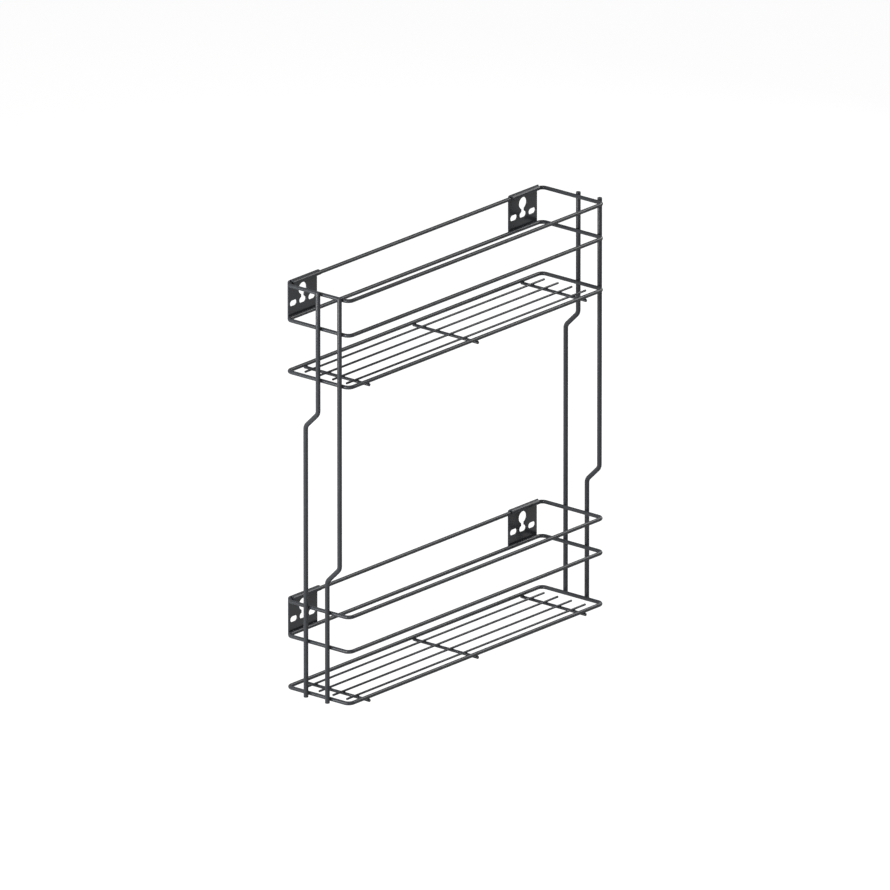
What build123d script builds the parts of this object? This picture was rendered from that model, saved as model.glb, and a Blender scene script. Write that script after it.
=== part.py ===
from build123d import *
import os

# Two-tier pull-out basket, bent and welded from round wire, with four sheet-metal
# brackets that fasten it to a runner on the cabinet's side wall.
# Sizes are in millimetres. +X runs along the basket, +Y towards the side wall and +Z up.
# The origin lies on the brackets' back plane, midway between the four keyholes.

# Wire diameters
rail_wire = 5.0
rod_wire = 6.0
cross_wire = 4.0
floor_wire = 2.8

# A wire's round section is drawn with this many corners, all on the wire's true diameter.
# A multiple of four puts corners where wires and plates touch each other.
wire_corners = 12

# Loops of one tier, measured over the outside of the wire
basket_length = 493.5
basket_width = 105.0
inside_corner_radius = 5.0

# Heights, from the axis of a tier's top rail
mid_rail_drop = 45.2
floor_rim_drop = 112.8
tier_pitch = 413.5

# Floor wires run along the basket and stop short of the rim's short sides
floor_wire_count = 4
floor_wire_pitch = 22.3
floor_wire_gap = 12.0

# Cross wires run under the floor, one in the middle and one near each end of the basket
cross_wire_inset = 38.75
cross_wire_overhang = 0.2

# Upright rods stand outside the short sides and jog towards the back on their way down
front_rod_inset = 10.7
rod_pitch = 34.7
rod_jog = 20.1
rod_bend_radius = 10.0
rear_jog_drop = 165.2
front_jog_drop = 360.8
rod_rise = 1.6
rod_overrun = 1.7

# The bare ends that stand out of the basket are broken by a small chamfer
end_chamfer = 0.4

# Brackets: a plate behind the rails with its top edge rolled over the top rail.
# bracket_inset is measured from the basket's end to the middle of the plate.
sheet = 2.0
bracket_width = 54.5
bracket_inset = 35.55
hook_lip = 1.0
hook_relief = 0.5
plate_corner_radius = 1.0

# Holes in a bracket, on one line below the top rail, with the keyhole in the middle
# and a slot close to each side edge of the plate
slot_drop = 28.3
slot_edge_gap = 3.0
slot_length = 13.3
slot_height = 7.6
keyhole_foot_length = 12.8
keyhole_neck = 5.9
keyhole_rise = 15.0
keyhole_bore = 15.3
keyhole_fillet = 1.2

rail_r = rail_wire / 2
rod_r = rod_wire / 2
loop_length = basket_length - rail_wire
loop_width = basket_width - rail_wire
corner_r = inside_corner_radius + rail_r
corner_x = loop_length / 2 - corner_r

# Places across the basket
back_y = -sheet - rail_r
front_y = back_y - loop_width
middle_y = (front_y + back_y) / 2

# Each tier is placed by its top rail, half a pitch above or below the origin
tiers = {"upper": slot_drop + tier_pitch / 2, "lower": slot_drop - tier_pitch / 2}
sides = {"left": -1, "right": 1}


def wire_section(start, direction, corner_side, diameter):
    """The section of a wire at its start, with one corner towards corner_side."""
    place = Plane(origin=start, x_dir=corner_side, z_dir=direction)
    return place * RegularPolygon(diameter / 2, wire_corners)


def bent_wire(path, bend_axis, diameter):
    """A wire along straight runs and tangent arcs, all bent about the same axis."""
    return sweep(wire_section(path @ 0, path % 0, bend_axis, diameter), path=path)


def closed_loop(z):
    """A rounded rectangle of rail wire, lying flat at height z."""
    path = (Pos(0, middle_y, z) * RectangleRounded(loop_length, loop_width, corner_r)).wire()
    return bent_wire(path, (0, 0, 1), rail_wire)


def straight_wire(start, end, diameter):
    """A cut length of level wire from start to end."""
    run = Vector(*end) - Vector(*start)
    return extrude(wire_section(start, run, (0, 0, 1), diameter), run.length)


def broken_ends(wire, axis):
    """The same wire with the edges of its two end faces, square to the axis, chamfered."""
    ends = wire.faces().filter_by(axis)
    return chamfer(ends.edges(), end_chamfer)


def floor_wires(rim_z):
    """The long floor wires of a tier, resting with the rim on the cross wires."""
    reach = loop_length / 2 - rail_r - floor_wire_gap
    z = rim_z - rail_r + floor_wire / 2
    first_y = middle_y - floor_wire_pitch * (floor_wire_count - 1) / 2
    rows = [first_y + floor_wire_pitch * row for row in range(floor_wire_count)]
    return [straight_wire((-reach, y, z), (reach, y, z), floor_wire) for y in rows]


def cross_wire_at(x, rim_z):
    """A wire across the underside of a tier, standing out past both long sides."""
    reach = loop_width / 2 + rail_r + cross_wire_overhang
    z = rim_z - rail_r - cross_wire / 2
    wire = straight_wire((x, middle_y - reach, z), (x, middle_y + reach, z), cross_wire)
    return broken_ends(wire, Axis.Y)


def upright_rod(x, top_y, jog_z):
    """A rod through both tiers, with a 45 degree jog of rod_jog centred at jog_z."""
    top_z = tiers["upper"] + rail_r + rod_rise
    foot_z = tiers["lower"] - floor_rim_drop - rail_r - rod_overrun
    path = FilletPolyline(
        (x, top_y, top_z),
        (x, top_y, jog_z + rod_jog / 2),
        (x, top_y + rod_jog, jog_z - rod_jog / 2),
        (x, top_y + rod_jog, foot_z),
        radius=rod_bend_radius,
    )
    return broken_ends(bent_wire(path, (1, 0, 0), rod_wire), Axis.Z)


def hole_cutters(front):
    """Cutters for the keyhole and the slot on each side of it, on the plane of a plate's front."""
    row = front * Pos(0, -slot_drop)
    foot = SlotOverall(keyhole_foot_length, slot_height)
    bore = Pos(0, keyhole_rise) * Circle(keyhole_bore / 2)
    neck = Pos(0, keyhole_rise / 2) * Rectangle(keyhole_neck, keyhole_rise)
    keyhole = extrude(row * (foot + bore + neck), -sheet)
    throat = [
        edge
        for edge in keyhole.edges().filter_by(Axis.Y)
        if abs(abs(edge.center().X - front.origin.X) - keyhole_neck / 2) < 0.01
    ]
    keyhole = fillet(throat, keyhole_fillet)
    slot_x = bracket_width / 2 - slot_edge_gap - slot_length / 2
    side_slot = SlotOverall(slot_length, slot_height)
    slots = [extrude(row * Pos(side * slot_x, 0) * side_slot, -sheet) for side in (-1, 1)]
    return [keyhole] + slots


def right_bracket(top_z):
    """A plate behind the rails whose top edge is rolled over the top rail."""
    height = mid_rail_drop + rail_r
    x = basket_length / 2 - bracket_inset
    front = Plane(origin=(x, -sheet, top_z), x_dir=(1, 0, 0), z_dir=(0, -1, 0))
    blank = Pos(0, -height / 2) * Rectangle(bracket_width, height)
    plate = extrude(front * blank, -sheet)
    plate = fillet(plate.edges().filter_by(Axis.Y).group_by(Axis.Z)[0], plate_corner_radius)
    plate -= hole_cutters(front)

    outer_r = rail_r + sheet
    end = Plane(origin=(x, back_y, top_z), x_dir=(0, 1, 0), z_dir=(1, 0, 0))
    roll = Circle(outer_r) - Circle(rail_r) - Pos(0, -outer_r) * Rectangle(2 * outer_r, 2 * outer_r)
    lip = Pos(-rail_r - sheet / 2, -hook_lip / 2) * Rectangle(sheet, hook_lip)
    hook = extrude(end * (roll + lip), bracket_width / 2, both=True)

    # The rail turns forward at the basket's corner, so the front of the hook ends just before
    relief = Box(bracket_width, outer_r, 2 * outer_r + hook_lip, align=(Align.MIN, Align.MAX, Align.CENTER))
    return plate + (hook - Pos(corner_x - hook_relief, back_y, top_z) * relief)


parts = {}
for tier, top_z in tiers.items():
    rim_z = top_z - floor_rim_drop
    parts[f"{tier}_top_rail"] = closed_loop(top_z)
    parts[f"{tier}_mid_rail"] = closed_loop(top_z - mid_rail_drop)
    parts[f"{tier}_floor_rim"] = closed_loop(rim_z)
    for number, wire in enumerate(floor_wires(rim_z), 1):
        parts[f"{tier}_floor_wire_{number}"] = wire
    for place, step in {"left": -1, "middle": 0, "right": 1}.items():
        x = step * (basket_length / 2 - cross_wire_inset)
        parts[f"{tier}_cross_wire_{place}"] = cross_wire_at(x, rim_z)
    bracket = right_bracket(top_z)
    parts[f"{tier}_right_bracket"] = bracket
    parts[f"{tier}_left_bracket"] = mirror(bracket, about=Plane.YZ)

for side, sign in sides.items():
    x = sign * (loop_length / 2 + rail_r + rod_r)
    front_rod_y = front_y + front_rod_inset
    parts[f"front_{side}_rod"] = upright_rod(x, front_rod_y, tiers["upper"] - front_jog_drop)
    parts[f"rear_{side}_rod"] = upright_rod(x, front_rod_y + rod_pitch, tiers["upper"] - rear_jog_drop)

os.makedirs("parts", exist_ok=True)
for name, solid in parts.items():
    solid.label = name
    export_step(solid, f"parts/{name}.step")
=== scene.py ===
# %% [markdown]
# # A two-tier wire basket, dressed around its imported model
#
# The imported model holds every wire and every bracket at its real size. Its wires are
# drawn with a twelve-sided section, which is light but looks cut with a file. Here each
# wire is drawn again as a fine round surface, the brackets get softened edges, and the
# small welds where wires cross are added. Then come the powder coat, the surroundings,
# the light and the camera.

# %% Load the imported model
import math

import bmesh
import bpy
import numpy as np
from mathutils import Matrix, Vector
from mathutils.geometry import delaunay_2d_cdt


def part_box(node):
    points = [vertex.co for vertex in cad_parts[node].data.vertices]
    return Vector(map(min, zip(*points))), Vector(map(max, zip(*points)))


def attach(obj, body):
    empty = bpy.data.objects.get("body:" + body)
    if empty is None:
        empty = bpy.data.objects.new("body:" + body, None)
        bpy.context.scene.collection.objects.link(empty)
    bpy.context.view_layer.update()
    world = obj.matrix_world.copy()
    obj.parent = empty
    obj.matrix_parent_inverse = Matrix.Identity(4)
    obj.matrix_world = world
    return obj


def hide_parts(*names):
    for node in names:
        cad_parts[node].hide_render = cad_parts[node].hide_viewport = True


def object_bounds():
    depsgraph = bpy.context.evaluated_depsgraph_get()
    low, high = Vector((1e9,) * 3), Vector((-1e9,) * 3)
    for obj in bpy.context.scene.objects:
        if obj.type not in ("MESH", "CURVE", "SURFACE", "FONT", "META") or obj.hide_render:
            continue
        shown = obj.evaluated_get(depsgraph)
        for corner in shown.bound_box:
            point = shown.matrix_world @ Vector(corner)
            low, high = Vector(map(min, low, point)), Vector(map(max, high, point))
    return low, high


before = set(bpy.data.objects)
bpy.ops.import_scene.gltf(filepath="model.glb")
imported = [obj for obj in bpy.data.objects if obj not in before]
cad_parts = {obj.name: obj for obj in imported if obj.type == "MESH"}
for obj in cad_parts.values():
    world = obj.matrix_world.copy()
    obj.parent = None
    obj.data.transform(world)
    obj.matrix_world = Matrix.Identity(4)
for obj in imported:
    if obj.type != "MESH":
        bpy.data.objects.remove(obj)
cad_low, cad_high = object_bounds()
print("model size in mm:", [round(1000 * side, 1) for side in cad_high - cad_low])

# %% [markdown]
# ## Boxes in millimetres
#
# Everything that a node's box can tell is read from the frame, so a longer basket would
# dress itself. A box can't tell a bend or a hole. Those few sizes are named further down,
# each in the cell that needs it, in millimetres as a maker's drawing gives them. Blender
# counts in metres, so a mesh's points are scaled by mm when the mesh is made.

# %% Boxes in millimetres
mm = 0.001
x_axis, y_axis, z_axis = np.eye(3)


def node_box(node):
    """The lowest and highest corner of a CAD node, as arrays in millimetres."""
    low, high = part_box(node)
    return np.array(low) / mm, np.array(high) / mm


print("nodes in the model:", len(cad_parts))

# %% [markdown]
# ## Surfaces from grids of points
#
# Every round piece here is a grid: rows follow the piece and columns go round it. The
# grid is computed as one numpy array, and these helpers turn it into quads. Columns
# always close on themselves. Rows do so only on a loop, which has no ends.

# %% From grids to quads
def grid_faces(rows, columns, rows_close):
    """Quads (i, j), (i, j+1), (i+1, j+1), (i+1, j). Columns always close, rows if asked."""
    i = np.arange(rows if rows_close else rows - 1)[:, None]
    j = np.arange(columns)[None, :]
    below, beside = (i + 1) % rows, (j + 1) % columns
    corners = (i * columns + j, i * columns + beside, below * columns + beside, below * columns + j)
    return np.stack(np.broadcast_arrays(*corners), axis=-1).reshape(-1, 4)


def join_grids(grids):
    """Points and quads of several grids in one list, each grid given as (array, rows_close)."""
    points, faces, first = [], [], 0
    for grid, rows_close in grids:
        rows, columns = grid.shape[:2]
        points.append(grid.reshape(-1, 3))
        faces.append(grid_faces(rows, columns, rows_close) + first)
        first += rows * columns
    return np.concatenate(points), np.concatenate(faces).tolist()


print("quads of an open tube of 4 rings with 6 corners:", len(grid_faces(4, 6, False)))

# %% [markdown]
# ## From quads to a piece
#
# A pole, where a whole row sits on one point, is closed by merging the points that lie
# closer together than merge_distance. Recalculating the normals after that turns every
# face outwards, whichever way the grid was wound. The object stays at the origin with
# its place in its mesh, because a pattern on Object coordinates would slide otherwise.

# %% From points and faces to a piece
merge_distance = 0.002


def make_piece(name, points, faces, stands_for=()):
    """One smooth closed mesh from points in millimetres, riding on the basket's body."""
    mesh = bpy.data.meshes.new(name)
    mesh.from_pydata((points * mm).tolist(), [], faces)
    shell = bmesh.new()
    shell.from_mesh(mesh)
    bmesh.ops.remove_doubles(shell, verts=shell.verts, dist=merge_distance * mm)
    bmesh.ops.recalc_face_normals(shell, faces=shell.faces)
    shell.to_mesh(mesh)
    shell.free()
    mesh.shade_smooth()
    piece = bpy.data.objects.new(name, mesh)
    bpy.context.scene.collection.objects.link(piece)
    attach(piece, "root")
    if stands_for:
        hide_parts(*stands_for)
    return piece


print("points closer than this many mm are merged:", merge_distance)

# %% [markdown]
# ## Bending a wire
#
# A bending machine only knows straight runs and arcs, so a wire's path is a list of
# corners with a bend radius, and each corner becomes an arc that is tangent to both runs.
# For a corner C with unit vectors a and b along its two runs, and a turn of t, the arc
# begins at C + a r tan(t/2) and its centre lies on the bisector, r / cos(t/2) from C.
# A Bezier curve could be bent by hand instead, but it only comes close to an arc.

# %% The arc at a corner
arc_step = math.radians(6.0)
fewest_steps = 2


def unit(vector):
    """The vector divided by its own length."""
    return vector / np.linalg.norm(vector)


def corner_arc(before, corner, after, radius):
    """Points and tangents of the arc: centre + cos(s) p - sin(s) r a, for s from 0 to the turn."""
    a, b = unit(before - corner), unit(after - corner)
    turn = math.pi - math.acos(np.clip(a @ b, -1.0, 1.0))
    begin = corner + a * radius * math.tan(turn / 2)
    centre = corner + unit(a + b) * radius / math.cos(turn / 2)
    p = begin - centre
    steps = max(fewest_steps, math.ceil(turn / arc_step))
    s = np.linspace(0.0, turn, steps + 1)[:, None]
    points = centre + np.cos(s) * p - np.sin(s) * radius * a
    tangents = -np.sin(s) * p / radius - np.cos(s) * a
    return points, tangents


quarter_turn, _ = corner_arc(x_axis, np.zeros(3), y_axis, 1.0)
print("points of a quarter turn:", len(quarter_turn))

# %% [markdown]
# A path is a row of such arcs. The straight runs between them need no points of their
# own, because a quad spans a run from end to end. A closed path turns at every corner,
# and an open one at every corner except its two ends.

# %% Closed and open paths
def closed_path(corners, radius):
    """Points and tangents of an arc at every corner, one arc after the other."""
    turns = zip(np.roll(corners, 1, axis=0), corners, np.roll(corners, -1, axis=0))
    arcs = [corner_arc(*turn, radius) for turn in turns]
    return np.concatenate([arc[0] for arc in arcs]), np.concatenate([arc[1] for arc in arcs])


def open_path(corners, radius):
    """Points and tangents from the first corner to the last, with an arc at each one between."""
    arcs = [corner_arc(*turn, radius) for turn in zip(corners[:-2], corners[1:-1], corners[2:])]
    ends = (unit(corners[1] - corners[0]), unit(corners[-1] - corners[-2]))
    points = [corners[:1]] + [arc[0] for arc in arcs] + [corners[-1:]]
    tangents = [ends[0][None]] + [arc[1] for arc in arcs] + [ends[1][None]]
    return np.concatenate(points), np.concatenate(tangents)


square = np.array([(0, 0, 0), (4, 0, 0), (4, 4, 0), (0, 4, 0)], float)
print("points round a square with bent corners:", len(closed_path(square, 1.0)[0]))

# %% [markdown]
# ## Wires as a section carried along a path
#
# All the bends of one wire lie in one plane, so a fixed vector square to that plane and
# its cross product with the tangent span the section everywhere, and the tube can't twist.
# A curve with a round bevel would look much the same, but it has to be turned into a mesh
# before anything can be done to its ends.

# %% Tubes
section_corners = 24
section_angles = np.linspace(0.0, 2 * math.pi, section_corners, endpoint=False)


def tube(points, tangents, bend_axis, radius):
    """S(i, j) = P(i) + r(i) (cos(phi_j) b + sin(phi_j) b x t(i)), with b the bend axis."""
    side = np.cross(bend_axis, tangents)
    radii = np.broadcast_to(radius, len(points))[:, None, None]
    around = np.cos(section_angles)[None, :, None] * bend_axis
    around = around + np.sin(section_angles)[None, :, None] * side[:, None, :]
    return points[:, None, :] + radii * around


flatness = 1.0 - math.cos(math.pi / section_corners)
print("depth of the section's flats as a share of its radius:", round(flatness, 4))

# %% [markdown]
# ## Cut ends
#
# A sheared end isn't sharp once it is coated. It is drawn as a flat disc whose rim rolls
# over in a quarter circle of radius e: after a swing s, the ring lies e (1 - cos s) below
# the tip and has the radius r - e + e sin s. The middle of the disc is a pole that the
# merge closes. A Bevel modifier could round the rim too, but would need a mesh with caps
# first, while here the rings are a few more rows of the same grid.

# %% Wires with rolled ends
end_roll = 0.45
largest_roll_share = 0.4
disc_ring_share = 0.7
end_swing = np.radians([0.0, 30.0, 60.0, 90.0])


def end_profile(radius, roll):
    """Depth below the tip and radius of each ring of a rounded end, from the pole inwards."""
    disc_radii = [0.0, disc_ring_share * (radius - roll)]
    depths = np.concatenate([[0.0, 0.0], roll * (1.0 - np.cos(end_swing))])
    radii = np.concatenate([disc_radii, radius - roll + roll * np.sin(end_swing)])
    return depths, radii


def cut_wire(points, tangents, bend_axis, radius):
    """A tube whose first and last point are each drawn out into the rings of a rounded end."""
    roll = min(end_roll, largest_roll_share * radius)
    depths, radii = end_profile(radius, roll)
    head = points[0] + depths[:, None] * tangents[0]
    tail = points[-1] - depths[::-1, None] * tangents[-1]
    head_tangents, tail_tangents = (np.tile(tangents[end], (len(depths), 1)) for end in (0, -1))
    path = np.concatenate([head, points[1:-1], tail])
    along = np.concatenate([head_tangents, tangents[1:-1], tail_tangents])
    thickness = np.concatenate([radii, np.full(len(points) - 2, radius), radii[::-1]])
    return tube(path, along, bend_axis, thickness)


print("rings of a rounded end:", len(end_profile(1.0, largest_roll_share)[0]))

# %% [markdown]
# ## The loops
#
# Each tier has three flat loops: a top rail, a rail at half height and the rim of the
# floor. A loop is one wire with its ends butt-welded, so it has no visible end. Four
# straight wires and four quarter rings would make one too, but their joints would need
# closing. As one grid whose rows close, the loop has no joint.

# %% Rails and rims
tiers = ("upper", "lower")
loop_parts = ("top_rail", "mid_rail", "floor_rim")
inside_corner_radius = 5.0

wires = []
loop_heights = {}
for tier in tiers:
    for part in loop_parts:
        node = f"{tier}_{part}"
        low, high = node_box(node)
        rail_r = (high[2] - low[2]) / 2
        (x0, y0, z), (x1, y1, _) = low + rail_r, high - rail_r
        rectangle = np.array([(x0, y0, z), (x1, y0, z), (x1, y1, z), (x0, y1, z)])
        path = closed_path(rectangle, inside_corner_radius + rail_r)
        grid = tube(*path, z_axis, rail_r)
        wires.append(make_piece(f"{node}_wire", *join_grids([(grid, True)]), [node]))
        loop_heights[node] = z
loop_half_length, loop_front_y, loop_back_y = x1, y0, y1
corner_start_x = loop_half_length - inside_corner_radius - rail_r
print("loops at heights in mm:", {node: round(float(z), 1) for node, z in loop_heights.items()})

# %% [markdown]
# ## The straight wires of the floors
#
# Floor wires run along the basket and cross wires run under them. A box tells all about
# such a wire: its longest side is the direction and its height is the diameter. A
# cylinder would do for most of the length, but not for the rounded ends, and those of the
# cross wires stand out at the front.

# %% Floor and cross wires
straight_nodes = [
    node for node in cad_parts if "_floor_wire_" in node or "_cross_wire_" in node
]
straight_middles = {}
for node in sorted(straight_nodes):
    low, high = node_box(node)
    run = int(np.argmax(high - low))
    radius = (high[2] - low[2]) / 2
    middle = (low + high) / 2
    direction = np.eye(3)[run]
    reach = (high[run] - low[run]) / 2
    ends = np.array([middle - reach * direction, middle + reach * direction])
    grid = cut_wire(ends, np.tile(direction, (2, 1)), z_axis, radius)
    wires.append(make_piece(f"{node}_coated", *join_grids([(grid, False)]), [node]))
    straight_middles[node] = middle
print("straight wires:", len(straight_middles))

# %% [markdown]
# ## The upright rods
#
# Four thicker rods tie the two tiers together. Each one stands outside a short side and
# steps towards the back in a 45 degree jog: near the top for the rear pair, near the
# bottom for the front pair. Its drop is counted from the axis of the upper top rail to
# the middle of the jog. A straight cylinder could be bent by a modifier, but would grow
# thinner in the bends, while a section carried along the path keeps its diameter.

# %% Rods
rod_bend_radius = 10.0
jog_drops = {"front": 360.8, "rear": 165.2}
sides = {"left": -1.0, "right": 1.0}

rod_lines = {}
for place, drop in jog_drops.items():
    for side_name in sides:
        node = f"{place}_{side_name}_rod"
        low, high = node_box(node)
        rod_r = (high[0] - low[0]) / 2
        x = (low[0] + high[0]) / 2
        top_y, foot_y = low[1] + rod_r, high[1] - rod_r
        jog_z = loop_heights["upper_top_rail"] - drop
        jog = foot_y - top_y
        corners = np.array([
            (x, top_y, high[2]),
            (x, top_y, jog_z + jog / 2),
            (x, foot_y, jog_z - jog / 2),
            (x, foot_y, low[2]),
        ])
        grid = cut_wire(*open_path(corners, rod_bend_radius), x_axis, rod_r)
        wires.append(make_piece(f"{node}_coated", *join_grids([(grid, False)]), [node]))
        rod_lines[node] = {"x": x, "upper": top_y, "lower": foot_y}
print("rods:", len(rod_lines), "wires in all:", len(wires))

# %% [markdown]
# ## The brackets
#
# A bracket is made as it is in the press shop: a flat blank is cut with its holes, and
# then its top edge is rolled over the rail. In the blank's own coordinates, u runs across,
# v runs up along the sheet from the height of the rail's axis, and w goes through the
# thickness. Booleans could cut the holes out of a bent solid, but they leave slivers that
# shade badly. One formula that bends the blank takes the holes and soft edges with it.
#
# First the outlines, each a closed list of points (u, v) that runs anticlockwise. The
# arc of a bent wire serves for the corners of a polygon too.

# %% Arcs and rounded polygons
outline_step = 7.5


def arc_points(centre, radius, start, end):
    """Points (cx + r cos a, cy + r sin a) from angle start to angle end, in degrees."""
    steps = max(fewest_steps, math.ceil(abs(end - start) / outline_step))
    a = np.radians(np.linspace(start, end, steps + 1))
    return np.stack([centre[0] + radius * np.cos(a), centre[1] + radius * np.sin(a)], axis=1)


def rounded_outline(corners, radii):
    """A closed flat outline with its own radius at each corner."""
    turns = zip(np.roll(corners, 1, axis=0), corners, np.roll(corners, -1, axis=0), radii)
    return np.concatenate([corner_arc(*turn)[0] for turn in turns])


print("points of a half round:", len(arc_points((0.0, 0.0), 1.0, 0.0, 180.0)))

# %% [markdown]
# A slot is a rectangle whose corners have half its height as radius. A hair less leaves a
# short straight run between two corners, so that no two points of the outline coincide.

# %% The slots' outline
slot_drop = 28.3
slot_edge_gap = 3.0
slot_length = 13.3
slot_height = 7.6
corner_slack = 0.01


def slot_outline(centre):
    """A rectangle with its corners rounded to half its height."""
    x, y = slot_length / 2, slot_height / 2
    corners = np.array([(-x, -y), (x, -y), (x, y), (-x, y)]) + centre
    return rounded_outline(corners, [slot_height / 2 - corner_slack] * 4)


print("points round a slot:", len(slot_outline((0.0, 0.0))))

# %% [markdown]
# The keyhole is a foot like a slot, a neck and a bore. Where the neck meets a round of
# radius R, a fillet of radius f touches both, so the fillet's centre lies f beside the
# neck and R + f from the centre of the round.

# %% The keyhole's outline
keyhole_foot_length = 12.8
keyhole_neck = 5.9
keyhole_rise = 15.0
keyhole_bore = 15.3
keyhole_fillet = 1.2


def keyhole_outline(foot_centre):
    """The right half from the foot up to the bore, then the same half mirrored back down."""
    foot_r, bore_r, neck_x = slot_height / 2, keyhole_bore / 2, keyhole_neck / 2
    foot_x = keyhole_foot_length / 2 - foot_r
    fillet_x = neck_x + keyhole_fillet
    low_y = math.sqrt((foot_r + keyhole_fillet) ** 2 - (fillet_x - foot_x) ** 2)
    high_y = keyhole_rise - math.sqrt((bore_r + keyhole_fillet) ** 2 - fillet_x ** 2)
    low_turn = math.degrees(math.atan2(low_y, fillet_x - foot_x))
    high_turn = math.degrees(math.atan2(high_y - keyhole_rise, fillet_x))
    half = np.concatenate([
        arc_points((foot_x, 0.0), foot_r, -90.0, low_turn),
        arc_points((fillet_x, low_y), keyhole_fillet, 180.0 + low_turn, 180.0)[1:],
        arc_points((fillet_x, high_y), keyhole_fillet, 180.0, 180.0 + high_turn),
        arc_points((0.0, keyhole_rise), bore_r, high_turn, 90.0)[1:],
    ])
    return np.concatenate([half, half[-2::-1] * (-1.0, 1.0)]) + foot_centre


print("points round a keyhole:", len(keyhole_outline((0.0, 0.0))))

# %% [markdown]
# ## Softened edges
#
# Sheet that was cut and then coated has no sharp edge. Round each outline runs a strip
# whose profile rolls over the edge: from the front face, over a quarter circle, across
# the thickness and over the other quarter. The metal lies left of the blank's outline and
# right of a hole's. A Bevel modifier would have to guess which edges are meant, while the
# strip is there only where the sheet was cut.

# %% The strip over a cut edge
sheet = 2.0
edge_roll = 0.35
edge_support = 0.25
edge_swing = np.radians([0.0, 22.5, 45.0, 67.5, 90.0])


def inset(outline, distance, metal_left):
    """Each point moved into the metal, square to the line between its two neighbours."""
    along = np.roll(outline, -1, axis=0) - np.roll(outline, 1, axis=0)
    along = along / np.linalg.norm(along, axis=1, keepdims=True)
    normals = np.stack([-along[:, 1], along[:, 0]], axis=1) * (1.0 if metal_left else -1.0)
    return outline + distance * normals


def edge_profile():
    """Insets e (1 - sin s) at heights t/2 - e (1 - cos s), then the same from the back face."""
    insets = np.concatenate([[edge_roll + edge_support], edge_roll * (1.0 - np.sin(edge_swing))])
    heights = np.concatenate([[sheet / 2], sheet / 2 - edge_roll * (1.0 - np.cos(edge_swing))])
    return np.concatenate([insets, insets[::-1]]), np.concatenate([heights, -heights[::-1]])


def edge_strip(outline, metal_left):
    """The rolled edge as a grid: a row for each step of the profile, a column for each point."""
    rows = []
    for distance, height in zip(*edge_profile()):
        moved = inset(outline, distance, metal_left)
        rows.append(np.column_stack([moved, np.full(len(outline), height)]))
    return np.stack(rows)


print("steps of the profile over an edge:", len(edge_profile()[0]))

# %% [markdown]
# ## Rolling the blank over the rail
#
# The sheet's middle keeps its length when it is bent, so a piece of length v reaches an
# angle of v / m round the rail, where m is the radius of the middle. The part that will be
# rolled needs rows of points of its own, or it would bend as flats.

# %% The bend
mid_radius = rail_r + sheet / 2
roll_length = math.pi * mid_radius
roll_steps = 24
roll_rows = np.linspace(0.0, roll_length, roll_steps + 1)


def bend_blank(blank, top_z, place_x, side):
    """y = c + (m - w) cos a, z = top + (m - w) sin a + rest cos a, where a = v / m within the roll.

    c is the rail's axis, m the radius of the sheet's middle, and rest the length of v
    below or above the roll. With a = 0 below and a = pi above, both stay straight.
    """
    u, v, w = blank.T
    rolled = np.clip(v, 0.0, roll_length)
    a = rolled / mid_radius
    y = loop_back_y + (mid_radius - w) * np.cos(a)
    z = top_z + (mid_radius - w) * np.sin(a) + (v - rolled) * np.cos(a)
    return np.stack([side * (place_x + u), y, z], axis=1)


print("length of the roll in mm:", round(float(roll_length), 2))

# %% [markdown]
# ## Filling the blank
#
# The faces are filled by a constrained Delaunay triangulation. It keeps the edges of the
# holes but fills them too, out to the hull of all the points, so the triangles whose
# middle isn't in the metal are dropped afterwards.

# %% Faces between the outlines
hull_of_all_points = 0
point_tolerance = 1e-5


def encloses(outline, places):
    """Even-odd rule: from inside, a line along +u crosses the outline an odd number of times."""
    u, v = places[:, 0, None], places[:, 1, None]
    (u0, v0), (u1, v1) = outline.T, np.roll(outline, -1, axis=0).T
    spans = (v0 > v) != (v1 > v)
    crossing = u0 + (v - v0) * (u1 - u0) / np.where(v1 == v0, 1.0, v1 - v0)
    return np.count_nonzero(spans & (crossing > u), axis=1) % 2 == 1


def fill_blank(outlines, inner_points):
    """Points (u, v) and triangles of the metal: inside the first outline, outside the others."""
    depth = edge_roll + edge_support
    loops = [inset(outline, depth, index == 0) for index, outline in enumerate(outlines)]
    edges, first = [], 0
    for count in map(len, loops):
        edges += [(first + i, first + (i + 1) % count) for i in range(count)]
        first += count
    places = [Vector(place) for place in np.concatenate(loops + [inner_points])]
    filled = delaunay_2d_cdt(places, edges, [], hull_of_all_points, point_tolerance)
    points = np.array([tuple(point) for point in filled[0]])
    triangles = np.array([list(triangle) for triangle in filled[2]])
    middles = points[triangles].mean(axis=1)
    in_hole = np.any([encloses(hole, middles) for hole in loops[1:]], axis=0)
    return points, triangles[encloses(loops[0], middles) & ~in_hole].tolist()


in_the_slot = encloses(slot_outline((0.0, 0.0)), np.array([(0.0, 0.0), (slot_length, 0.0)]))
print("a slot encloses its middle, but no place beside it:", in_the_slot.tolist())

# %% [markdown]
# ## The blank's outline
#
# The blank has two features that are easy to miss. The lower corners of the plate are
# rounded, and the rolled top is cut back to its crown at the basket's corner, where the
# rail turns forward and leaves the hook.

# %% Corners of the blank
hook_lip = 1.0
hook_relief = 0.5
plate_corner_radius = 1.0
hook_corner_radius = 0.7
relief_corner_radius = 0.5


def bracket_outline(half, foot, place_x):
    """Rounded corners (u, v, radius), anticlockwise from the lower left one."""
    crown, end = roll_length / 2, roll_length + hook_lip
    relief = corner_start_x - hook_relief - place_x
    corners = np.array([
        (-half, foot, plate_corner_radius),
        (half, foot, plate_corner_radius),
        (half, crown, hook_corner_radius),
        (relief, crown, relief_corner_radius),
        (relief, end, hook_corner_radius),
        (-half, end, hook_corner_radius),
    ])
    return rounded_outline(corners[:, :2], corners[:, 2])


print("sheet above the rail's axis in mm:", round(float(roll_length + hook_lip), 2))

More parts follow.
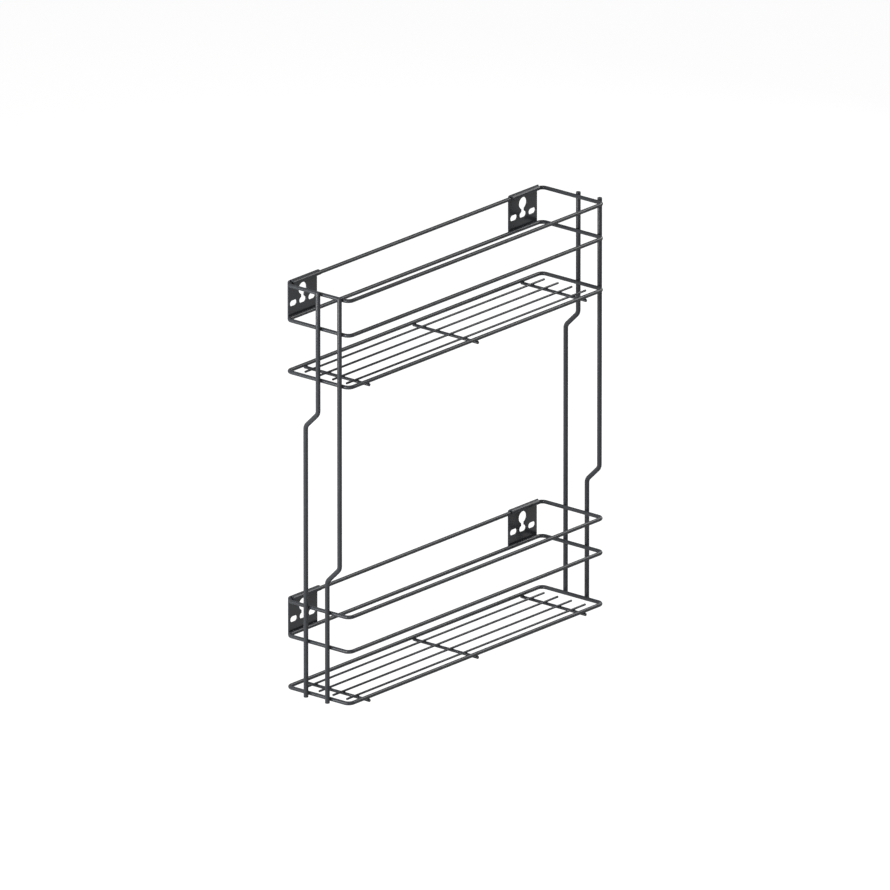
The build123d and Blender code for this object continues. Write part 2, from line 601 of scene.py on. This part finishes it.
# %% [markdown]
# The upright sides of the blank get a point on every row of the roll, so that the strip
# along them bends with the rows. A row that would fall on the very end of a side is left
# out there.

# %% Rows on the sides of the blank
same_place = 0.01
shortest_side = 1.0
row_margin = 0.02


def with_roll_rows(outline):
    """The outline with a point on every row of the roll along its upright sides."""
    parts = []
    for start, finish in zip(outline, np.roll(outline, -1, axis=0)):
        parts.append(start[None])
        if abs(start[0] - finish[0]) < same_place and abs(start[1] - finish[1]) > shortest_side:
            between = (roll_rows - start[1]) / (finish[1] - start[1])
            stops = np.sort(between[(between > row_margin) & (between < 1.0 - row_margin)])
            parts.append(start + stops[:, None] * (finish - start))
    return np.concatenate(parts)


print("rows of the roll:", len(roll_rows))

# %% [markdown]
# Between the two sides, each row of the roll gets points at an even spacing. They stay
# clear of the strips along the edges. Above the crown, a row ends at the relief. One more
# row, just below the roll, lets the flat plate begin with even triangles.

# %% Points within the roll
strip_clearance = 0.3
first_column = 1.5
column_spacing = 3.0
row_below_roll = -1.0


def roll_points(outline):
    """Inner points (u, v) of the rolled part, row by row from the left side to the right."""
    left, right, tip = outline[:, 0].min(), outline[:, 0].max(), outline[:, 1].max()
    relief = outline[np.abs(outline[:, 1] - tip) < same_place, 0].max()
    clear = edge_roll + edge_support + strip_clearance
    rows = []
    for v in np.append(roll_rows, row_below_roll):
        if v < tip - clear:
            limit = right if v < roll_length / 2 - clear else relief
            columns = np.arange(left + clear + first_column, limit - clear, column_spacing)
            rows.append(np.column_stack([columns, np.full(len(columns), v)]))
    return np.concatenate(rows)


print("spacing along a row in mm:", column_spacing)

# %% [markdown]
# ## Four brackets
#
# Each bracket is put together flat: the strips round its outlines, then the front face
# and the back face, which is the front face mirrored. The merge in make_piece joins the
# faces to the strips. The left brackets mirror the right ones, so the bend gets a side.

# %% Brackets
def bracket(tier, side_name):
    """One bracket as a closed mesh: both faces, the outer edge and the edges of its holes."""
    node, side = f"{tier}_{side_name}_bracket", sides[side_name]
    low, high = node_box(node)
    top_z = loop_heights[f"{tier}_top_rail"]
    place_x = side * (low[0] + high[0]) / 2
    half = (high[0] - low[0]) / 2
    slot_u = half - slot_edge_gap - slot_length / 2
    outer = with_roll_rows(bracket_outline(half, low[2] - top_z, place_x))
    holes = [slot_outline((u, -slot_drop)) for u in (-slot_u, slot_u)]
    outlines = [outer, keyhole_outline((0.0, -slot_drop))] + holes
    strips = [(edge_strip(outline, index == 0), False) for index, outline in enumerate(outlines)]
    strip_points, faces = join_grids(strips)
    flat, triangles = fill_blank(outlines, roll_points(outer))
    front = np.column_stack([flat, np.full(len(flat), sheet / 2)])
    back = front * (1.0, 1.0, -1.0)
    first = len(strip_points)
    faces += [[first + corner for corner in t] for t in triangles]
    faces += [[first + len(flat) + corner for corner in reversed(t)] for t in triangles]
    points = bend_blank(np.concatenate([strip_points, front, back]), top_z, place_x, side)
    return make_piece(f"{node}_sheet", points, faces, [node])


brackets = [bracket(tier, side_name) for tier in tiers for side_name in sides]
print("brackets:", {piece.name: len(piece.data.polygons) for piece in brackets})

# %% [markdown]
# ## The welds
#
# Crossing wires are joined by resistance welding: current and pressure melt the two at
# their contact, and a little metal is squeezed out round it. Under the coat that shows as
# a small cushion in the corner between the wires. A remeshed union of the wires would
# blend them too, at a great cost in faces. A flattened ellipsoid at the contact is enough,
# because only its rim comes out of the wires. The weld pressure varies, so each cushion
# gets its own size from a seeded generator.

# %% One weld
weld_seed = 7
weld_draws = np.random.default_rng(weld_seed)
weld_spread = 0.92, 1.08
weld_rows, weld_columns = 11, 20
weld_turn = np.linspace(0.0, 2 * math.pi, weld_columns, endpoint=False)
weld_rise = np.linspace(-math.pi / 2, math.pi / 2, weld_rows)
along_no_axis = (0.31, 0.47, 0.83)


def weld(contact, across, width, height):
    """E(i, j) = c + w cos(t_i) (cos(p_j) a + sin(p_j) b) + h sin(t_i) n, n across the joint."""
    a = unit(np.cross(across, along_no_axis))
    b = np.cross(across, a)
    width, height = np.array([width, height]) * weld_draws.uniform(*weld_spread, 2)
    ring = np.cos(weld_turn)[:, None] * a + np.sin(weld_turn)[:, None] * b
    flat = width * np.cos(weld_rise)[:, None, None] * ring[None]
    return np.array(contact) + flat + height * np.sin(weld_rise)[:, None, None] * across


print("points of a weld:", weld_rows * weld_columns)

# %% [markdown]
# The welds sit where wires touch. Each pair of sizes is half the cushion's width and half
# its height, and thin wires get small cushions. In a floor, the cross wires carry both
# the rim and the floor wires, so all the welds lie at one height.

# %% Where a floor is welded
rim_weld = 1.9, 1.15
floor_wire_weld = 1.45, 0.9


def floor_welds(tier):
    """Every cross wire meets both long sides of the rim and all the floor wires."""
    contact_z = loop_heights[f"{tier}_floor_rim"] - rail_r
    middles = straight_middles.items()
    cross_xs = [middle[0] for node, middle in middles if node.startswith(f"{tier}_cross")]
    wire_ys = [middle[1] for node, middle in middles if node.startswith(f"{tier}_floor")]
    for x in cross_xs:
        for y in (loop_front_y, loop_back_y):
            yield weld((x, y, contact_z), z_axis, *rim_weld)
        for y in wire_ys:
            yield weld((x, y, contact_z), z_axis, *floor_wire_weld)


floor_wire_nodes = [node for node in straight_middles if "_floor_wire_" in node]
print("floor wires on each tier's cross wires:", len(floor_wire_nodes) // len(tiers))

# %% [markdown]
# The rods stand outside the loops and touch their short sides. The plates' spot welds lie
# between the plate and the rail at half height, at three shares of the plate's width.

# %% Where rods and plates are welded
rod_weld = 2.2, 1.3
plate_weld = 2.0, 0.9
plate_weld_shares = 0.15, 0.5, 0.85


def rod_welds(tier):
    """Every rod meets the short side of each loop that it passes."""
    for line in rod_lines.values():
        contact_x = math.copysign(loop_half_length + rail_r, line["x"])
        for part in loop_parts:
            height = loop_heights[f"{tier}_{part}"]
            yield weld((contact_x, line[tier], height), x_axis, *rod_weld)


def plate_welds(tier):
    """Each bracket's plate is spot-welded to the back of the rail at half height."""
    for side_name in sides:
        low, high = node_box(f"{tier}_{side_name}_bracket")
        for share in plate_weld_shares:
            x = low[0] + share * (high[0] - low[0])
            yield weld((x, -sheet, loop_heights[f"{tier}_mid_rail"]), y_axis, *plate_weld)


print("loops that each rod is welded to:", len(tiers) * len(loop_parts))

# %% [markdown]
# All the welds of a tier make one piece. They replace nothing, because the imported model
# has none, and a piece for each would only make the list of pieces long.

# %% Welds as pieces
weld_pieces = []
for tier in tiers:
    grids = [*floor_welds(tier), *rod_welds(tier), *plate_welds(tier)]
    joined = join_grids([(grid, False) for grid in grids])
    weld_pieces.append(make_piece(f"{tier}_welds", *joined))
    print(tier, "welds:", len(grids))

# %% [markdown]
# ## Powder coat
#
# The finish is a satin anthracite powder coat: dark grey, faintly cool, with the shallow
# waves that a baked powder keeps, called orange peel, and a finer grain on top. A
# photographed texture would show its seams and repeats on wires this long. Noise on
# Object coordinates, which on these pieces are real metres, has neither.
#
# Every node is added in the same way, so one helper does it.

# %% A helper that adds a node
def add_node(tree, kind, inputs, **settings):
    """A new node. Each of its named inputs is linked to a socket or set to a number."""
    node = tree.nodes.new(kind)
    for setting, value in settings.items():
        setattr(node, setting, value)
    for label, value in inputs.items():
        if isinstance(value, bpy.types.NodeSocket):
            tree.links.new(value, node.inputs[label])
        else:
            node.inputs[label].default_value = value
    return node


print("pieces to coat:", len(wires + brackets + weld_pieces))

# %% [markdown]
# The waves are a node group, so that another finish could use them with its own sizes. A
# group is an empty node tree at first, with named sockets for what goes in and comes out.

# %% An empty node group
def new_group(name, inputs, outputs):
    """An empty group with number sockets, and its two nodes for what enters and leaves."""
    group = bpy.data.node_groups.new(name, "ShaderNodeTree")
    for label, value in inputs.items():
        socket = group.interface.new_socket(label, in_out="INPUT", socket_type="NodeSocketFloat")
        socket.default_value = value
    for label in outputs:
        group.interface.new_socket(label, in_out="OUTPUT", socket_type="NodeSocketFloat")
    return group, group.nodes.new("NodeGroupInput"), group.nodes.new("NodeGroupOutput")


print("node groups so far:", len(bpy.data.node_groups))

# %% [markdown]
# The grain is added to the waves in a set share, and the sum leaves the group as a
# height. A third, much broader noise leaves it as a cloud, for slow changes of the coat.

# %% The coat's surface as a node group
waves_per_metre = 700.0
grain_share = 0.2
clouds_per_metre = 25.0
grains_per_wave = 5.0
wave_detail, grain_detail, cloud_detail = 1.0, 2.0, 3.0


def baked_powder_group():
    """Height = peel waves + grain share x fine noise. Cloud = broad noise for tone and gloss."""
    group, entry, leave = new_group("baked_powder", {
        "Waves per metre": waves_per_metre,
        "Grain share": grain_share,
        "Clouds per metre": clouds_per_metre,
    }, ("Height", "Cloud"))
    where = group.nodes.new("ShaderNodeTexCoord").outputs["Object"]

    def noise(scale, detail):
        """Smooth noise over the piece, with the given number of waves in a metre."""
        inputs = {"Vector": where, "Scale": scale, "Detail": detail}
        return add_node(group, "ShaderNodeTexNoise", inputs).outputs["Fac"]

    per_metre = entry.outputs["Waves per metre"]
    factors = {0: per_metre, 1: grains_per_wave}
    finer = add_node(group, "ShaderNodeMath", factors, operation="MULTIPLY")
    waves, grain = noise(per_metre, wave_detail), noise(finer.outputs[0], grain_detail)
    parts = {0: grain, 1: entry.outputs["Grain share"], 2: waves}
    height = add_node(group, "ShaderNodeMath", parts, operation="MULTIPLY_ADD")
    group.links.new(height.outputs[0], leave.inputs["Height"])
    group.links.new(noise(entry.outputs["Clouds per metre"], cloud_detail), leave.inputs["Cloud"])
    return group


baked_powder = baked_powder_group()
print("nodes in the group:", len(baked_powder.nodes))

# %% [markdown]
# The material spends what the group puts out. The cloud moves the tone by up to a tenth,
# as the thickness of a sprayed coat does.

# %% Tone of the coat
coat_dark = (0.0350, 0.0385, 0.0435, 1.0)
coat_light = (0.0425, 0.0465, 0.0520, 1.0)
tone_range = 0.3, 0.7


def coat_tone(tree, cloud):
    """A colour ramp from the dark tone to the light one, read at the cloud's value."""
    ramp = add_node(tree, "ShaderNodeValToRGB", {"Fac": cloud})
    elements = ramp.color_ramp.elements
    elements[0].position, elements[1].position = tone_range
    elements[0].color, elements[1].color = coat_dark, coat_light
    return ramp.outputs["Color"]


print("mean colour of the coat:", np.mean([coat_dark[:3], coat_light[:3]], axis=0).round(4))

# %% [markdown]
# The gloss follows the cloud too, and it follows the angle. A smooth varnish turns into a
# mirror when light only grazes it, and a wire seen along its length would then vanish in
# its white surroundings. The ripples of a baked powder shade each other at such angles
# and break that mirror up. They are too fine to be drawn, so a Layer Weight node raises
# the roughness instead, from the satin that a viewer sees head-on to fully dull at the
# wire's outline.

# %% Gloss of the coat
satin_roughness = 0.16, 0.22
slanting_roughness = 1.0
slant_range = 0.35, 0.85
slant_blend = 0.5


def coat_roughness(tree, cloud):
    """The satin roughness, which follows the cloud, rising to the dull one at a slant."""
    satin = add_node(tree, "ShaderNodeMapRange", {
        "Value": cloud,
        "To Min": satin_roughness[0],
        "To Max": satin_roughness[1],
    })
    slant = add_node(tree, "ShaderNodeLayerWeight", {"Blend": slant_blend})
    dulled = add_node(tree, "ShaderNodeMapRange", {
        "Value": slant.outputs["Facing"],
        "From Min": slant_range[0],
        "From Max": slant_range[1],
        "To Min": satin.outputs["Result"],
        "To Max": slanting_roughness,
    }, interpolation_type="SMOOTHSTEP")
    return dulled.outputs["Result"]


print("roughness seen head-on:", satin_roughness, "and at a slant:", slanting_roughness)

# %% [markdown]
# The height goes to a Bump node, because waves of a fiftieth of a millimetre are far too
# shallow for real geometry. Everything that is the same all over, such as the strength of
# the gloss, is set on the shader's own sockets.

# %% The powder coat material
specular_level = 0.24
varnish_ior = 1.5
peel_height = 0.02 * mm


def powder_coat():
    """The shader with the coat's tone, roughness and ripples."""
    material = bpy.data.materials.new("satin_anthracite_powder_coat")
    material.use_nodes = True
    tree = material.node_tree
    shader = tree.nodes["Principled BSDF"]
    shader.inputs["Specular IOR Level"].default_value = specular_level
    shader.inputs["IOR"].default_value = varnish_ior
    surface = add_node(tree, "ShaderNodeGroup", {}, node_tree=baked_powder)
    height, cloud = surface.outputs["Height"], surface.outputs["Cloud"]
    bump = add_node(tree, "ShaderNodeBump", {
        "Strength": 1.0,
        "Distance": peel_height,
        "Height": height,
    })
    tree.links.new(coat_tone(tree, cloud), shader.inputs["Base Color"])
    tree.links.new(coat_roughness(tree, cloud), shader.inputs["Roughness"])
    tree.links.new(bump.outputs["Normal"], shader.inputs["Normal"])
    return material


coat = powder_coat()
coated_pieces = wires + brackets + weld_pieces
for piece in coated_pieces:
    piece.data.materials.append(coat)
print("coated pieces:", len(coated_pieces))

# %% [markdown]
# ## Floor and surroundings
#
# The basket hangs on a runner in use, so the floor lies some way below it and only
# catches a faint shadow. The floor itself is grey and really lit, and it also glows
# towards the camera and towards reflections and glass. Both parts together come to about
# 1, which a picture shows as white, so the shadow stays while the ground is white. More
# light would whiten it too, but would wash out the basket's dark coat.
#
# A Light Path node tells what kind of ray asks for the colour. The camera, reflections
# and glass get the glow, and the soft light that falls on the basket doesn't.

# %% Rays that look at the surroundings
def seen_directly(tree):
    """1 for rays of the camera, of reflections and of glass, 0 for rays that light the scene."""
    rays = tree.nodes.new("ShaderNodeLightPath").outputs
    by_surface = {0: rays["Is Glossy Ray"], 1: rays["Is Transmission Ray"]}
    glossy_or_glass = add_node(tree, "ShaderNodeMath", by_surface, operation="MAXIMUM")
    any_look = {0: rays["Is Camera Ray"], 1: glossy_or_glass.outputs[0]}
    return add_node(tree, "ShaderNodeMath", any_look, operation="MAXIMUM").outputs[0]


print("rays that see the glow: camera, glossy and transmission; no others do")

# %% [markdown]
# The floor's material adds the glow to a dull shader. Mixing the two would do as well, but
# adding them keeps each one's strength as it is written.

# %% The floor's material
floor_colour = (0.25, 0.25, 0.25, 1.0)
floor_roughness = 0.9
floor_glow = 0.94


def pale_floor():
    """A dull lit grey, plus a glow that lights nothing."""
    material = bpy.data.materials.new("pale_floor")
    material.use_nodes = True
    tree = material.node_tree
    shader = tree.nodes["Principled BSDF"]
    shader.inputs["Base Color"].default_value = floor_colour
    shader.inputs["Roughness"].default_value = floor_roughness
    shader.inputs["Specular IOR Level"].default_value = 0.0
    factors = {0: seen_directly(tree), 1: floor_glow}
    level = add_node(tree, "ShaderNodeMath", factors, operation="MULTIPLY")
    glow = add_node(tree, "ShaderNodeEmission", {"Strength": level.outputs[0]})
    both = add_node(tree, "ShaderNodeAddShader", {0: shader.outputs[0], 1: glow.outputs[0]})
    tree.links.new(both.outputs[0], tree.nodes["Material Output"].inputs["Surface"])
    return material


print("share of light that the floor gives back:", floor_colour[0])

# %% [markdown]
# The floor itself is one large square. A backdrop that curves up behind the basket would
# hide the horizon, but the white world does that already.

# %% Floor
floor_drop = 0.10
floor_half = 8.0

floor_mesh = bpy.data.meshes.new("floor")
floor_z = cad_low.z - floor_drop
floor_corners = [(-1, -1), (1, -1), (1, 1), (-1, 1)]
floor_points = [(floor_half * x, floor_half * y, floor_z) for x, y in floor_corners]
floor_mesh.from_pydata(floor_points, [], [(0, 1, 2, 3)])
floor_mesh.materials.append(pale_floor())
floor = bpy.data.objects.new("floor", floor_mesh)
bpy.context.scene.collection.objects.link(floor)
print("floor below the basket in mm:", round(1000 * floor_drop))

# %% [markdown]
# The world around the floor does the same: it looks white, and as a light it only fills
# the shadows a little.

# %% World
world_level = 0.04
background_level = 1.0
white = (1.0, 1.0, 1.0, 1.0)

world = bpy.data.worlds.new("studio")
bpy.context.scene.world = world
world.use_nodes = True
sky = world.node_tree.nodes["Background"]
sky.inputs["Color"].default_value = white
sky_level = add_node(world.node_tree, "ShaderNodeMapRange", {
    "Value": seen_directly(world.node_tree),
    "To Min": world_level,
    "To Max": background_level,
})
world.node_tree.links.new(sky_level.outputs["Result"], sky.inputs["Strength"])
print("world as a light:", world_level, "and as a background:", background_level)

# %% [markdown]
# ## Light
#
# Round wires show the direction of the light along their whole length, so the lamps are
# placed by what the wires need. A broad softbox at the left gives every rod a bright left
# side and a dark right one. One at the right and higher up brightens the tops of the level
# wires. Two small ones, in front at the left and behind at the right, make the short bright
# spots where the loops turn their corners.
#
# A lamp's power follows from the level it should reach: a lamp of power P lights a surface
# at distance d, facing it, as a white sky of strength P / (pi d)^2 would.

# %% Standing off and facing
def bearing(azimuth, elevation):
    """(sin a cos e, -cos a cos e, sin e): degrees from the basket's front and from the level."""
    a, e = math.radians(azimuth), math.radians(elevation)
    return Vector((math.sin(a) * math.cos(e), -math.cos(a) * math.cos(e), math.sin(e)))


def stand_off(name, data, target, back, distance):
    """A lamp or camera at the given distance from the target, looking at it along -back."""
    item = bpy.data.objects.new(name, data)
    item.location = target + back * distance
    item.rotation_mode = "QUATERNION"
    item.rotation_quaternion = (-back).to_track_quat("-Z", "Y")
    bpy.context.scene.collection.objects.link(item)
    return item


print("a bearing of 90, 0 points along:", [round(part, 3) for part in bearing(90.0, 0.0)])

# %% [markdown]
# Each lamp's turn is counted from the camera's azimuth, because the lamps were placed by
# what the photograph shows.

# %% Softboxes
camera_azimuth, camera_elevation = -49.842, 19.286
lamp_distance = 2.2
centre = (cad_low + cad_high) / 2


def softbox(name, turn, elevation, width, height, level):
    """A rectangular lamp that faces the basket and lights it to the given level."""
    data = bpy.data.lights.new(name, "AREA")
    data.shape = "RECTANGLE"
    data.size, data.size_y = width, height
    data.energy = level * (math.pi * lamp_distance) ** 2
    back = bearing(camera_azimuth + turn, elevation)
    return stand_off(name, data, centre, back, lamp_distance)


softboxes = [
    softbox("front_left_softbox", turn=-31.0, elevation=15.0, width=0.5, height=0.5, level=0.45),
    softbox("left_softbox", turn=-56.0, elevation=8.0, width=1.5, height=0.9, level=0.90),
    softbox("rear_right_softbox", turn=152.0, elevation=16.0, width=0.4, height=0.4, level=0.32),
    softbox("right_softbox", turn=117.0, elevation=34.0, width=1.4, height=0.8, level=0.38),
]
print("lamps in watts:", {lamp.name: round(lamp.data.energy, 1) for lamp in softboxes})

# %% [markdown]
# ## Camera
#
# A camera fitted to the straight wires of the photograph stands very far off: the
# perspective is so weak that the distance comes out at about fifty metres. The lens then
# follows from the scale, because a picture 890 pixels wide at 806.9 pixels to the metre
# spans 1.1 metres at the aim.

# %% Camera
picture_pixels = 890
pixels_per_metre = 806.9
camera_distance = 50.505
sensor_width = 36.0
aim = Vector((-0.00022, -0.05345, -0.02848))

camera_data = bpy.data.cameras.new("camera")
camera_data.sensor_width = sensor_width
camera_data.lens = sensor_width * pixels_per_metre * camera_distance / picture_pixels
camera_data.clip_end = 2 * camera_distance
camera_back = bearing(camera_azimuth, camera_elevation)
camera = stand_off("camera", camera_data, aim, camera_back, camera_distance)
bpy.context.scene.camera = camera
bpy.context.scene.view_settings.view_transform = "Standard"
print("lens in mm:", round(camera_data.lens, 1))
